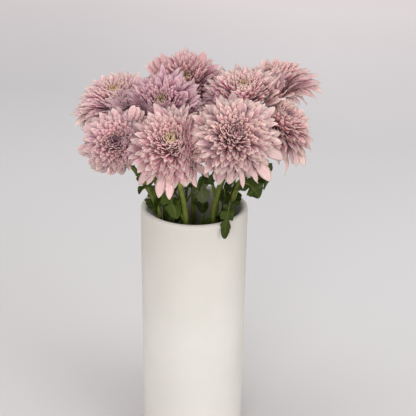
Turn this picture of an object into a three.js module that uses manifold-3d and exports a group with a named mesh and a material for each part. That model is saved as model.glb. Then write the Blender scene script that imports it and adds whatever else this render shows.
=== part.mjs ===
// Nine double chrysanthemums standing in a tall cylinder jar of water.
// Millimetres, +Z up, the jar's axis is Z, its foot is on z = 0, and the front is towards -Y.
import * as THREE from "three";
import { mergeVertices } from "three/addons/utils/BufferGeometryUtils.js";
import Module from "manifold-3d";

const wasm = await Module();
wasm.setup();

// ---- driving dimensions ----
const GAP = 0.3; // clearance between pieces that touch
const JAR = { radius: 60, height: 300, wall: 8, floor: 10, footRound: 2.5, lip: 4, sides: 40 };
const WATER = { level: 175, clearance: 0.5, sides: 32 };
const STEM = { footRadius: 3.6, neckRadius: 2.8, footSpread: 0.55, curl: 0.9, handle: 0.36, sides: 6 };
const CUP = { radius: 11.5, depth: 13, sides: 7 }; // the green cup that carries a bloom
const CORE = { centre: 6.3, sides: 9 }; // the smaller dome that the petals stand out of
const CORE_PROFILE = [ // height above the green cup, radius
  [GAP, 0], [GAP, 10.5], [4.5, 14], [10, 15.5], [16, 12.5], [21.5, 0],
];
const LEAF = { thickness: 0.9, bare: 0.25, trough: 0.16, wave: 0.08 }; // trough, wave: of the half width
const STALK_RADII = [1.6, 1.3, 0.8]; // of a leaf, from the stem to the blade
const PETAL = { keel: 0.9, cup: 0.08, root: 12.5 }; // root: its buried end, from the core's centre
const PETAL_SHAPES = { // places of the cross sections along a petal, and the width at each
  3: { places: [0, 0.46, 0.84, 1], widths: [0.5, 1, 0.82, 0] },
  2: { places: [0, 0.64, 1], widths: [0.55, 1, 0] },
};
const UNEVEN = { turn: 0.12, angle: 2.5, length: 0.07, droop: 0.4, width: 0.08, roll: 0.22 };
const SLIVER = 0.3; // surface detail smaller than this is evened out where pieces grow together
const THIN = 0.05; // least height of a triangle

// Room between blooms: leaning planes part them, and petals that meet a plane fold up and bend back.
const ROOM = {
  petals: 1.9, // from a petal to the plane
  stem: 5.6, // from a petal to the middle of another bloom's stem
  heart: 12, // height of a bloom's middle above its cup
  lean: 0.6, // how far the planes lean, so that a front bloom lies over the one behind
  leanWithin: 25, // difference in depth at which they lean fully
  pressed: 5, // how far a petal may push past the room before the bloom folds up
  soft: 9, // distance over which a petal bends back
  leastFold: 0.36, // the most folded that a bloom gets, as a share of its open angle
};
const BACKWARD = new THREE.Vector3(0, 0.91, -0.41); // from the front of the bunch to its back

// Rings of petals from the outermost in: count, angle from the bloom's axis at the root, further
// bend along the petal, length as a share of the bloom's reach, width, sag under its own weight, how
// much it folds up beside a neighbour, and how many cross sections it has before its tip.
const PETAL_RINGS = [
  { count: 12, angle: 98, bend: 12, length: 0.8, width: 13.5, sag: 0.3, fold: 1, steps: 3 },
  { count: 11, angle: 82, bend: 8, length: 0.7, width: 13.5, sag: 0.16, fold: 0.92, steps: 3 },
  { count: 10, angle: 65, bend: 4, length: 0.63, width: 12.5, sag: 0.08, fold: 0.78, steps: 2 },
  { count: 8, angle: 48, bend: -4, length: 0.56, width: 11, sag: 0, fold: 0.6, steps: 2 },
  { count: 6, angle: 32, bend: -12, length: 0.47, width: 9, sag: 0, fold: 0.4, steps: 2 },
  { count: 3, angle: 12, bend: -14, length: 0.38, width: 8.5, sag: 0, fold: 0.2, steps: 2 },
];
const HIDDEN_WHEN_FOLDED = [0.55, 0.42]; // where it is folded more, the outer rings stop

// Each flower: its seat (top of the green cup), where the bloom faces (azimuth from +X towards +Y,
// and height above level), its reach, where its stem passes the jar's mouth, and a seed.
const FLOWERS = {
  front_left: { seat: [-22, -62, 382], azimuth: -95, lift: 48, reach: 50, mouth: [-9, -37], seed: 11 },
  front_right: { seat: [38, -73, 396], azimuth: -86, lift: 43, reach: 52, mouth: [20, -28], seed: 23 },
  middle: { seat: [-32, -8, 404], azimuth: -98, lift: 50, reach: 49, mouth: [-13, -6], seed: 31 },
  upper_left: { seat: [-84, 22, 396], azimuth: -105, lift: 70, reach: 49, mouth: [-34, 12], seed: 47 },
  lower_left: { seat: [-80, -37, 381], azimuth: -88, lift: 30, reach: 37, mouth: [-39, -18], seed: 59 },
  top_back: { seat: [-10, 66, 404], azimuth: -95, lift: 56, reach: 58, mouth: [-1, 30], seed: 61 },
  upper_right: { seat: [52, 9, 403], azimuth: -95, lift: 76, reach: 56, mouth: [25, 8], seed: 73 },
  back_right: { seat: [91, 52, 403], azimuth: -165, lift: 72, reach: 57, mouth: [35, 26], seed: 83 },
  lower_right: { seat: [82, 0, 381], azimuth: -30, lift: 56, reach: 45, mouth: [40, -6], seed: 97 },
};

// Leaves: the stem they grow on, the height they leave it at, a point that the stalk arches
// through, the leaf's tip, its half width, the bare share of its length, and the turn of the blade.
const LEAVES = [
  { on: "lower_left", from: 306, over: [-48, -26, 332], tip: [-60, -28, 324], half: 12, bare: 0.3, turn: 30 },
  { on: "lower_left", from: 334, over: [-57, -34, 342], tip: [-61, -37, 355], half: 4.5, turn: 60 },
  { on: "front_left", from: 292, over: [-24, -30, 319], tip: [-18, -38, 299], half: 11, turn: 60 },
  { on: "upper_left", from: 292, over: [-38, -6, 312], tip: [-46, -2, 294], half: 15, turn: 40 },
  { on: "lower_left", from: 288, over: [-40, -20, 310], tip: [-42, -22, 297], half: 12, turn: 60 },
  { on: "middle", from: 296, over: [3, -12, 325], tip: [10, -20, 310], half: 15, turn: 50 },
  { on: "front_right", from: 318, over: [14, -22, 341], tip: [4, -28, 327], half: 11, turn: 50 },
  { on: "front_right", from: 326, over: [19, -28, 343], tip: [24, -36, 358], half: 6, turn: 50 },
  { on: "lower_right", from: 312, over: [56, -16, 332], tip: [70, -26, 319], half: 18, bare: 0.2, turn: 20 },
  { on: "lower_right", from: 326, over: [68, -2, 331], tip: [79, 4, 339], half: 10, turn: 30 },
  { on: "lower_right", from: 340, over: [80, 2, 348], tip: [77, 2, 317], half: 6, turn: 60 },
  { on: "lower_right", from: 297, over: [37, -45, 317], tip: [32, -58, 285], half: 9, bare: 0.35, turn: 10 },
  { on: "lower_right", from: 286, over: [43, -14, 307], tip: [38, -24, 301], half: 10, turn: 50 },
  { on: "lower_left", from: 262, over: [-30, -30, 290], tip: [-22, -42, 276], half: 12, turn: 70 },
  { on: "front_right", from: 262, over: [9, -36, 294], tip: [2, -45, 278], half: 12, turn: 60 },
  { on: "upper_left", from: 262, over: [-24, 6, 294], tip: [-20, 2, 276], half: 11, turn: 60 },
  { on: "upper_right", from: 262, over: [30, -8, 294], tip: [30, -14, 276], half: 11, turn: 60 },
  { on: "top_back", from: 284, over: [6, 8, 309], tip: [10, 2, 288], half: 12, turn: 60 },
  { on: "upper_right", from: 290, over: [32, 2, 318], tip: [34, -5, 301], half: 12, turn: 50 },
  { on: "top_back", from: 296, over: [-6, 16, 318], tip: [-10, 6, 298], half: 13, turn: 60 },
  { on: "middle", from: 300, over: [-26, -10, 322], tip: [-29, -20, 305], half: 12, turn: 60 },
  { on: "back_right", from: 292, over: [44, 14, 314], tip: [47, 4, 297], half: 12, turn: 50 },
  { on: "back_right", from: 318, over: [62, 40, 340], tip: [84, 56, 322], half: 14, bare: 0.3, turn: 0 },
  { on: "top_back", from: 318, over: [6, 54, 344], tip: [14, 80, 326], half: 14, bare: 0.3, turn: 0 },
  { on: "top_back", from: 338, over: [-20, 54, 360], tip: [-38, 70, 342], half: 13, bare: 0.3, turn: 0 },
  { on: "upper_left", from: 322, over: [-56, 34, 346], tip: [-72, 48, 324], half: 13, bare: 0.3, turn: 0 },
];
// Half of a leaf's outline with its blunt lobes: place along the midrib it belongs to, place along
// the leaf, and width as a share of the half width.
const LOBED_OUTLINE = [
  [0.08, 0.06, 0.24], [0.2, 0.2, 0.74], [0.31, 0.33, 0.36], [0.43, 0.48, 1], [0.52, 0.6, 0.9],
  [0.6, 0.61, 0.42], [0.74, 0.8, 0.72], [0.84, 0.86, 0.34], [0.93, 0.95, 0.2],
];

const COLOURS = {
  jar: 0xe4e1d6,
  water: 0xbfcac6,
  stem: 0x5f7040,
  bloom: 0xcfa3a8,
};

// ---- small helpers ----
const V = (x, y, z) => new THREE.Vector3(x, y, z);
const along = (p, d, s) => p.clone().addScaledVector(d, s);
const rad = THREE.MathUtils.degToRad;
const clamp = THREE.MathUtils.clamp;
const turnOf = (k, count) => (k / count) * Math.PI * 2;

// Repeatable random numbers from -1 to 1, by a linear congruence.
function randomFrom(seed) {
  const modulus = 2 ** 32;
  let state = seed * 7919 + 17;
  return () => {
    state = (state * 1664525 + 1013904223) % modulus;
    return (state / modulus) * 2 - 1;
  };
}

// Positive where the triangles face out of the body.
function signedVolume(points, faces) {
  let sum = 0;
  for (const [a, b, c] of faces) sum += points[a].dot(points[b].clone().cross(points[c]));
  return sum / 6;
}

// A closed body from points and triangles, turned to face out.
function solid(points, faces) {
  const out = signedVolume(points, faces) < 0 ? faces.map(([a, b, c]) => [a, c, b]) : faces;
  const vertProperties = new Float32Array(points.flatMap((p) => [p.x, p.y, p.z]));
  const triVerts = new Uint32Array(out.flat());
  return new wasm.Manifold(new wasm.Mesh({ numProp: 3, vertProperties, triVerts }));
}

// A skin over rings of points; a ring of one point is a tip, and an open end is capped.
function loft(rings) {
  const points = rings.flat();
  const faces = [];
  let at = 0;
  for (let i = 0; i + 1 < rings.length; i++) {
    const n = rings[i].length;
    const m = rings[i + 1].length;
    const next = at + n;
    const around = Math.max(n, m);
    for (let k = 0; k < around; k++) {
      const k2 = (k + 1) % around;
      if (n > 1) faces.push([at + k, at + k2, next + (m > 1 ? k : 0)]);
      if (m > 1) faces.push([at + (n > 1 ? k2 : 0), next + k2, next + k]);
    }
    at = next;
  }
  const first = rings[0].length;
  for (let k = 1; k + 1 < first; k++) faces.push([0, k + 1, k]);
  for (let k = 1; k + 1 < rings.at(-1).length; k++) faces.push([at, at + k, at + k + 1]);
  return solid(points, faces);
}

// A ring of points round p in the plane of two side directions.
function ringAround(p, across, up, radius, sides, start) {
  return Array.from({ length: sides }, (_, k) => {
    const a = turnOf(k + start, sides);
    return along(along(p, across, radius * Math.cos(a)), up, radius * Math.sin(a));
  });
}

// A round bar of changing radius along points; its side direction is carried along without spinning.
function tube(points, radii, sides, side) {
  let across = side.clone();
  const rings = points.map((p, i) => {
    const before = points[Math.max(i - 1, 0)];
    const after = points[Math.min(i + 1, points.length - 1)];
    const tangent = after.clone().sub(before).normalize();
    across = across.clone().addScaledVector(tangent, -across.dot(tangent)).normalize();
    return ringAround(p, across, tangent.clone().cross(across), radii[i], sides, 0);
  });
  return loft(rings);
}

// A turned body about the line from base along axis; the profile is [distance, radius] pairs.
function turned(base, axis, profile, sides) {
  const across = V(1, 0, 0).addScaledVector(axis, -axis.x).normalize();
  const up = axis.clone().cross(across);
  const rings = profile.map(([t, r]) => {
    const p = along(base, axis, t);
    return r === 0 ? [p] : ringAround(p, across, up, r, sides, 0.5);
  });
  return loft(rings);
}

// The first three of every so many numbers in a list.
function threes(list, stride) {
  const starts = Array.from({ length: list.length / stride }, (_, i) => i * stride);
  return starts.map((start) => Array.from(list.slice(start, start + 3)));
}

// Where three corners of a triangle lie almost on one line, its long edge is turned: the middle
// corner is joined to the corner across that edge instead, so that no triangle is a mere line.
function withoutLines(body) {
  const mesh = body.getMesh();
  const points = threes(mesh.vertProperties, mesh.numProp).map((p) => V(...p));
  const faces = threes(mesh.triVerts, 3);
  const edges = new Map();
  const note = (face, f) => face.forEach((a, k) => edges.set(`${a},${face[(k + 1) % 3]}`, f));
  faces.forEach(note);
  const passes = 4;
  for (let pass = 0; pass < passes; pass++) {
    faces.forEach((face, f) => {
      const lengths = face.map((a, k) => points[a].distanceTo(points[face[(k + 1) % 3]]));
      const longest = lengths.indexOf(Math.max(...lengths));
      const [a, c, b] = [0, 1, 2].map((k) => face[(longest + k) % 3]);
      const area = points[b].clone().sub(points[a]).cross(points[c].clone().sub(points[a])).length();
      if (area / lengths[longest] > THIN) return;
      const g = edges.get(`${c},${a}`);
      const d = faces[g].find((v) => v !== a && v !== c);
      if (edges.has(`${b},${d}`) || edges.has(`${d},${b}`)) return;
      edges.delete(`${a},${c}`);
      edges.delete(`${c},${a}`);
      faces[f] = [a, d, b];
      faces[g] = [d, c, b];
      note(faces[f], f);
      note(faces[g], g);
    });
  }
  return solid(points, faces);
}

// One body from many: hollows that the joining seals are filled, and loose scraps are dropped.
function fuse(solids) {
  const bodies = wasm.Manifold.union(solids).asOriginal().simplify(SLIVER).decompose();
  const largest = bodies.reduce((best, body) => (body.volume() > best.volume() ? body : best));
  return withoutLines(largest);
}

function geometryOf(manifold) {
  const mesh = manifold.getMesh();
  const geometry = new THREE.BufferGeometry();
  const positions = new Float32Array(threes(mesh.vertProperties, mesh.numProp).flat());
  geometry.setAttribute("position", new THREE.BufferAttribute(positions, 3));
  geometry.setIndex(new THREE.BufferAttribute(new Uint32Array(mesh.triVerts), 1));
  const flat = mergeVertices(geometry, 1e-4).toNonIndexed();
  flat.computeVertexNormals();
  return flat;
}

// ---- the jar and its water ----
// A thick plain cylinder with a rounded lip, open at the top.
function makeJar() {
  const { radius, height, wall, floor, footRound, lip, sides } = JAR;
  const inner = radius - wall;
  const soft = lip * 0.3;
  const profile = [
    [0, 0], [radius - footRound, 0], [radius, footRound], [radius, height - lip],
    [radius - soft, height - soft], [radius - lip, height], [inner + soft, height - soft],
    [inner, height - lip], [inner, floor], [0, floor],
  ];
  const shape = new THREE.LatheGeometry(profile.map(([x, y]) => new THREE.Vector2(x, y)), sides);
  shape.rotateX(Math.PI / 2);
  shape.deleteAttribute("normal");
  shape.deleteAttribute("uv");
  const merged = mergeVertices(shape, 1e-4);
  const at = merged.getAttribute("position");
  const points = Array.from({ length: at.count }, (_, i) => V(at.getX(i), at.getY(i), at.getZ(i)));
  const index = Array.from(merged.index.array);
  const faces = [];
  for (let i = 0; i < index.length; i += 3) {
    const face = index.slice(i, i + 3);
    if (new Set(face).size === 3) faces.push(face);
  }
  return solid(points, faces);
}

// The water fills the jar's lower half round plain holes in which the stems stand.
function makeWater() {
  const radius = JAR.radius - JAR.wall - WATER.clearance;
  const profile = [[JAR.floor + GAP, radius], [WATER.level, radius]];
  const body = turned(V(0, 0, 0), V(0, 0, 1), profile, WATER.sides);
  const pastFloor = 8;
  const holes = Object.keys(FLOWERS).map((name) => stemTube(name, GAP + 0.1, pastFloor));
  return body.subtract(wasm.Manifold.union(holes));
}

// ---- stems ----
const facing = ({ azimuth, lift }) =>
  V(
    Math.cos(rad(azimuth)) * Math.cos(rad(lift)),
    Math.sin(rad(azimuth)) * Math.cos(rad(lift)),
    Math.sin(rad(lift)),
  );

// A stem rises straight from the jar's floor to the mouth and then arches over to its seat.
function stemPath(name) {
  const { seat, mouth } = FLOWERS[name];
  const axis = facing(FLOWERS[name]);
  const foot = V(mouth[0] * STEM.footSpread, mouth[1] * STEM.footSpread, JAR.floor + 2 * GAP);
  const rim = V(mouth[0], mouth[1], JAR.height);
  const top = along(V(...seat), axis, 3 - CUP.depth);
  const lean = top.clone().sub(rim);
  const arch = lean.length() * STEM.handle;
  const rise = rim.clone().sub(foot).normalize();
  rise.addScaledVector(lean.normalize(), STEM.curl).normalize();
  const handles = [along(rim, rise, arch), along(top, axis, -arch)];
  const curve = new THREE.CubicBezierCurve3(rim, ...handles, top);
  return [foot, foot.clone().lerp(rim, 0.7), ...curve.getPoints(6)];
}
const STEM_PATHS = Object.fromEntries(Object.keys(FLOWERS).map((name) => [name, stemPath(name)]));

// The stem's own bar, or made thicker and longer the hole that it stands in.
function stemTube(name, extra, longer) {
  const [foot, next, ...rest] = STEM_PATHS[name];
  const low = along(foot, foot.clone().sub(next).normalize(), longer);
  const path = [low, next, ...rest];
  const radii = path.map((_, i) => {
    const share = i / (path.length - 1);
    return THREE.MathUtils.lerp(STEM.footRadius, STEM.neckRadius, share) + extra;
  });
  return tube(path, radii, STEM.sides, V(1, 0, 0));
}

function makeCup(name) {
  const profile = [
    [-CUP.depth, 0], [-CUP.depth, STEM.neckRadius], [-CUP.depth * 0.62, CUP.radius * 0.62],
    [-CUP.depth * 0.2, CUP.radius], [0, CUP.radius * 0.9], [0, 0],
  ];
  return turned(V(...FLOWERS[name].seat), facing(FLOWERS[name]), profile, CUP.sides);
}

function pointAtHeight(path, z) {
  for (let i = 0; i + 1 < path.length; i++) {
    const [a, b] = [path[i], path[i + 1]];
    if (a.z <= z && z <= b.z) return a.clone().lerp(b, (z - a.z) / (b.z - a.z));
  }
  return path.at(-1).clone();
}

// ---- leaves ----
function leafMidrib(leaf) {
  const start = pointAtHeight(STEM_PATHS[leaf.on], leaf.from);
  const tip = V(...leaf.tip);
  const handle = V(...leaf.over).multiplyScalar(2);
  handle.addScaledVector(start, -0.5).addScaledVector(tip, -0.5);
  return new THREE.QuadraticBezierCurve3(start, handle, tip);
}

// A closed sheet of even thickness: each row is its middle and then, unless it is an end, its two
// edges, as pairs of a point and the sheet's direction up. Both faces have the same triangles.
function sheetSolid(rows) {
  const points = [];
  const number = rows.map((row) =>
    row.map(([p, up]) => {
      points.push(along(p, up, LEAF.thickness / 2), along(p, up, -LEAF.thickness / 2));
      return points.length - 2;
    }),
  );
  const faces = [];
  const both = (a, b, c) => faces.push([a, b, c], [a + 1, c + 1, b + 1]);
  const rim = (a, b) => faces.push([a, a + 1, b], [b, a + 1, b + 1]);
  for (let i = 0; i + 1 < number.length; i++) {
    const [now, next] = [number[i], number[i + 1]];
    for (const side of [1, 2]) {
      const [a, b] = [now[side] ?? now[0], next[side] ?? next[0]];
      const turn = side === 1 ? both : (p, q, r) => both(p, r, q);
      if (a !== now[0]) turn(now[0], a, next[0]);
      if (b !== next[0]) turn(a, b, next[0]);
      if (side === 1) rim(a, b);
      else rim(b, a);
    }
  }
  return solid(points, faces);
}

function makeLeaf(leaf) {
  const rib = leafMidrib(leaf);
  const stalkShare = leaf.bare ?? LEAF.bare;
  const place = (u) => stalkShare + (1 - stalkShare) * u;
  const bladeLength = rib.getLength() * (1 - stalkShare);
  const sideways = V(leaf.over[1] - leaf.tip[1], leaf.tip[0] - leaf.over[0], 0).normalize();
  const rows = [[0], ...LOBED_OUTLINE, [1]].map(([u, forward, width], i) => {
    const p = rib.getPoint(place(u));
    const tangent = rib.getTangent(place(u));
    const across = sideways.clone().addScaledVector(tangent, -sideways.dot(tangent)).normalize();
    across.applyAxisAngle(tangent, rad(leaf.turn));
    const up = tangent.clone().cross(across);
    if (width === undefined) return [[p, up]];
    const wave = Math.sin(i * 1.7) * LEAF.wave * leaf.half;
    const edge = (side) => {
      const out = along(p, across, side * width * leaf.half);
      out.addScaledVector(tangent, (forward - u) * bladeLength);
      return [out.addScaledVector(up, LEAF.trough * width * leaf.half + side * wave), up];
    };
    return [[p, up], edge(1), edge(-1)];
  });
  const stalk = [0, stalkShare * 0.5, place(0.07)].map((u) => rib.getPoint(u));
  return fuse([sheetSolid(rows), tube(stalk, STALK_RADII, 4, V(0, 0, 1))]);
}

function makeStem(name) {
  const leaves = LEAVES.filter((leaf) => leaf.on === name).map(makeLeaf);
  return fuse([stemTube(name, 0, 0), makeCup(name), ...leaves]);
}

// ---- blooms ----
// Planes between a bloom's heart and its neighbours', which its petals stay behind.
function wallsOf(name) {
  const heart = (flower) => along(V(...flower.seat), facing(flower), ROOM.heart);
  const own = heart(FLOWERS[name]);
  const others = Object.keys(FLOWERS).filter((other) => other !== name);
  return others.map((other) => {
    const there = heart(FLOWERS[other]);
    const normal = there.clone().sub(own);
    const behind = clamp(normal.dot(BACKWARD) / ROOM.leanWithin, -1, 1);
    normal.normalize().addScaledVector(BACKWARD, behind * ROOM.lean).normalize();
    return { middle: own.clone().lerp(there, 0.5), normal };
  });
}

// How far a point is beyond the room that it leaves to a wall.
const beyond = (p, wall) => p.clone().sub(wall.middle).dot(wall.normal) + ROOM.petals;

// Moves a point back from each wall, softly, so that it never uses the room.
function heldBack(p, walls) {
  const held = p.clone();
  for (const wall of [...walls, ...walls, ...walls]) {
    const s = beyond(held, wall);
    if (s <= -ROOM.soft) continue;
    const kept = -ROOM.soft * Math.exp(-(s + ROOM.soft) / ROOM.soft);
    held.addScaledVector(wall.normal, kept - s);
  }
  return held;
}

// The middle line of a petal, which leaves the core at an angle and bends on along its length.
function spine(bloom, radial, ring, shape) {
  const { places } = PETAL_SHAPES[ring.steps];
  const direction = (degrees) => {
    const forward = bloom.axis.clone().multiplyScalar(Math.cos(rad(degrees)));
    return forward.addScaledVector(radial, Math.sin(rad(degrees)));
  };
  const points = [along(bloom.heart, direction(shape.angle), PETAL.root)];
  for (let i = 1; i < places.length; i++) {
    const middle = (places[i] + places[i - 1]) / 2;
    const step = direction(shape.angle + ring.bend * middle * 1.6);
    step.z -= ring.sag * middle * shape.droop;
    step.normalize();
    points.push(along(points.at(-1), step, shape.length * (places[i] - places[i - 1])));
  }
  return points;
}

// True while a petal would push too far past a wall, or come too near another stem.
function inTheWay(points, bloom) {
  return points.slice(1).some(
    (p) =>
      bloom.walls.some((wall) => beyond(p, wall) > ROOM.pressed + 0.5) ||
      bloom.stems.some((q) => p.distanceTo(q) < ROOM.stem - 0.5),
  );
}

// Points along the other flowers' stems, where they pass near this bloom.
function otherStems(name) {
  const nearby = 75;
  const others = Object.keys(FLOWERS).filter((other) => other !== name);
  const points = others.flatMap((other) => {
    const curve = new THREE.CatmullRomCurve3(STEM_PATHS[other].slice(1));
    return curve.getPoints(40);
  });
  return points.filter((p) => p.distanceTo(V(...FLOWERS[name].seat)) < nearby);
}

// A petal is boat shaped: two edges and a keel, drawn in to a buried root and out to a tip.
function makePetal(points, radial, axis, ring, width, roll, walls) {
  const held = points.map((p, i) => (i ? heldBack(p, walls) : p));
  const sideways = axis.clone().cross(radial);
  const last = held.length - 1;
  const rings = held.map((p, i) => {
    const share = PETAL_SHAPES[ring.steps].widths[i];
    if (share === 0) return [p];
    const tangent = held[Math.min(i + 1, last)].clone().sub(held[Math.max(i - 1, 0)]).normalize();
    const across = sideways.clone().applyAxisAngle(tangent, roll * (i / last));
    across.addScaledVector(tangent, -across.dot(tangent)).normalize();
    const half = (width / 2) * share;
    const edges = [along(p, across, half), along(p, across, -half)];
    const [left, right] = i ? edges.map((edge) => heldBack(edge, walls)) : edges;
    const flat = left.clone().sub(right).normalize();
    const inward = tangent.clone().cross(flat).normalize();
    const middle = left.clone().add(right).multiplyScalar(0.5).lerp(p, 0.5);
    const lifted = along(middle, inward, PETAL.cup * width * share);
    return [along(lifted, flat, half), along(lifted, flat, -half), along(middle, inward, -PETAL.keel)];
  });
  return loft(rings);
}

// How far the bloom can open in each direction round its axis before its outer petals meet a
// neighbour: 1 where it is free, less where it has to fold up.
function openness(bloom) {
  const [ring] = PETAL_RINGS;
  const ways = 36;
  const open = Array.from({ length: ways }, (_, k) => {
    const radial = bloom.radialAt(turnOf(k, ways));
    const shape = { angle: ring.angle, length: ring.length * bloom.reach, droop: 1 };
    while (shape.angle > ring.angle * ROOM.leastFold) {
      if (!inTheWay(spine(bloom, radial, ring, shape), bloom)) break;
      shape.angle -= 2;
    }
    return shape.angle / ring.angle;
  });
  const smooth = open.map((_, k) => {
    const near = [-2, -1, 0, 1, 2].map((step) => open[(k + step + ways) % ways]);
    const mean = near.reduce((sum, value) => sum + value, 0) / near.length;
    return (Math.min(...near) + mean) / 2;
  });
  return (turn) => {
    const at = ((turn / (Math.PI * 2)) * ways + ways) % ways;
    const k = Math.floor(at);
    return THREE.MathUtils.lerp(smooth[k % ways], smooth[(k + 1) % ways], at - k);
  };
}

function bloomFrame(name) {
  const flower = FLOWERS[name];
  const axis = facing(flower);
  const e1 = V(1, 0, 0).addScaledVector(axis, -axis.x).normalize();
  const e2 = axis.clone().cross(e1);
  const bloom = {
    axis,
    heart: along(V(...flower.seat), axis, CORE.centre),
    reach: flower.reach,
    walls: wallsOf(name),
    stems: otherStems(name),
    radialAt: (turn) => along(V(0, 0, 0), e1, Math.cos(turn)).addScaledVector(e2, Math.sin(turn)),
  };
  return { ...bloom, openAt: openness(bloom), random: randomFrom(flower.seed) };
}

function makeBloom(name) {
  const bloom = bloomFrame(name);
  const { axis, random, walls } = bloom;
  const petals = [turned(V(...FLOWERS[name].seat), axis, CORE_PROFILE, CORE.sides)];
  PETAL_RINGS.forEach((ring, r) => {
    const start = 0.5 * (r % 2) + 0.17 * r; // each ring's petals stand between those of the last
    for (let k = 0; k < ring.count; k++) {
      const turn = turnOf(k + start + UNEVEN.turn * random(), ring.count);
      const radial = bloom.radialAt(turn);
      const open = bloom.openAt(turn);
      const shape = {
        angle: ring.angle * (1 - (1 - open) * ring.fold) + UNEVEN.angle * random(),
        length: ring.length * bloom.reach * (1 + UNEVEN.length * random()),
        droop: 1 + UNEVEN.droop * random(),
      };
      const width = ring.width * (1 + UNEVEN.width * random());
      const roll = UNEVEN.roll * random();
      if (open < HIDDEN_WHEN_FOLDED[r]) continue;
      let points = spine(bloom, radial, ring, shape);
      for (let tries = 0; tries < 12 && inTheWay(points, bloom); tries++) {
        shape.length *= 0.95;
        points = spine(bloom, radial, ring, shape);
      }
      petals.push(makePetal(points, radial, axis, ring, width, roll, walls));
    }
  });
  return fuse(petals);
}

// ---- the whole ----
function named(name, manifold, colour, roughness) {
  const material = new THREE.MeshStandardMaterial({ color: colour, roughness });
  const mesh = new THREE.Mesh(geometryOf(manifold), material);
  mesh.name = name;
  return mesh;
}

const whole = new THREE.Group();
whole.name = "chrysanthemums_in_a_jar";
whole.add(named("jar", makeJar(), COLOURS.jar, 0.6));
whole.add(named("water", makeWater(), COLOURS.water, 0.05));
for (const name of Object.keys(FLOWERS)) {
  whole.add(named(`stem_${name}`, makeStem(name), COLOURS.stem, 0.6));
  whole.add(named(`bloom_${name}`, makeBloom(name), COLOURS.bloom, 0.7));
}

export default whole;
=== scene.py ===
# %% [markdown]
# # Chrysanthemums in a jar
# Nine cut double chrysanthemums stand in a tall matt jar of water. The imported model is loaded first
# and stays as the frame: every finer piece made below is laid where its plain solid lies and then
# stands for it, so the bunch keeps its form and only gains petals, veins, teeth and finish.

# %% Load the frame
import functools
import math
import bpy
import numpy as np
from mathutils import Matrix, Vector


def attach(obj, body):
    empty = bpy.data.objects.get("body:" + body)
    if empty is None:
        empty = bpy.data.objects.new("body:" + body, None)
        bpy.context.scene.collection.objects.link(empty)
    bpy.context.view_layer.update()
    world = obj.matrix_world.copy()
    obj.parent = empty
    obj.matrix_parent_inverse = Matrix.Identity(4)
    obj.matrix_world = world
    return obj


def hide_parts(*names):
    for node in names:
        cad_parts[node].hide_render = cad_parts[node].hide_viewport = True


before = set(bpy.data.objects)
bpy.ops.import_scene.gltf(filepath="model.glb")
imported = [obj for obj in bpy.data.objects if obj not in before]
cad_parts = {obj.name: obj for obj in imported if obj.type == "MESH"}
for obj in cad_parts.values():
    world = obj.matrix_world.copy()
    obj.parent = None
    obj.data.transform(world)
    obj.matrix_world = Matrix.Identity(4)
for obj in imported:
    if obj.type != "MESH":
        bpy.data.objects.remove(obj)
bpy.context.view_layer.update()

# %% [markdown]
# ## Small tools
# These helpers serve the whole lesson. Colours are given as sRGB hex values, but a renderer
# adds light in linear numbers, so one function turns them. One function adds a shader node with its
# settings and links, and each finish gets it bound to its own tree, as add. One function turns arrays
# of points and faces into a smooth mesh object in metres, with a few numbers kept on its points.

# %% Helpers
MM = 0.001


def linear(hex_colour):
    channels = [int(hex_colour[k : k + 2], 16) / 255 for k in (1, 3, 5)]
    return [c / 12.92 if c <= 0.04045 else ((c + 0.055) / 1.055) ** 2.4 for c in channels] + [1.0]


def node(tree, kind, settings=None, **inputs):
    """Adds a shader node with its settings and inputs; an input is a value or a node to link.

    A colour ramp's stops are a setting, each a place with a hex colour or a shade from 0 to 1.
    An input goes by its name, or by i0, i1... in order.
    """
    made = tree.nodes.new("ShaderNode" + kind)
    for key, value in (settings or {}).items():
        if key != "stops":
            setattr(made, key, value)
            continue
        elements = made.color_ramp.elements
        while len(elements) < len(value):
            elements.new(0.5)
        for element, (place, colour) in zip(elements, value):
            element.position = place
            element.color = linear(colour) if isinstance(colour, str) else [colour] * 4
    for key, value in inputs.items():
        in_use = [socket for socket in made.inputs if socket.enabled]
        named = [socket for socket in in_use if socket.name == key.replace("_", " ")]
        socket = named[0] if named else in_use[int(key[1:])]
        if isinstance(value, str):
            value = linear(value)
        if isinstance(value, bpy.types.Node):
            value = next(output for output in value.outputs if output.enabled)
        if isinstance(value, bpy.types.NodeSocket):
            tree.links.new(value, socket)
        else:
            socket.default_value = value
    return made


def blank_finish(name):
    """A finish without its look yet, the function that adds nodes to it, and the place on the object."""
    material = bpy.data.materials.new(name)
    material.use_nodes = True
    material.node_tree.nodes.clear()
    add = functools.partial(node, material.node_tree)
    return material, add, add("TexCoord").outputs["Object"]


def mesh_piece(name, points, faces, finish, marks=None):
    """points in millimetres, faces as lists of point numbers, marks as one number per point."""
    mesh = bpy.data.meshes.new(name)
    mesh.from_pydata((np.asarray(points) * MM).tolist(), [], [list(map(int, face)) for face in faces])
    mesh.polygons.foreach_set("use_smooth", [True] * len(mesh.polygons))
    for key, values in (marks or {}).items():
        mesh.attributes.new(key, "FLOAT", "POINT").data.foreach_set("value", np.asarray(values, float))
    mesh.materials.append(finish)
    piece = bpy.data.objects.new(name, mesh)
    bpy.context.scene.collection.objects.link(piece)
    return piece


def stands_for(piece, cad_node):
    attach(piece, "root")
    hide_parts(cad_node)
    print(piece.name, len(piece.data.polygons), "faces")


# %% [markdown]
# ## The camera
# The picture was taken from about a metre away, looking down by 24 degrees with a slight roll. The
# place and lens below make the jar's straight sides and its round mouth fall where they fall in the
# picture, which fixes how large everything else appears.

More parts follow.
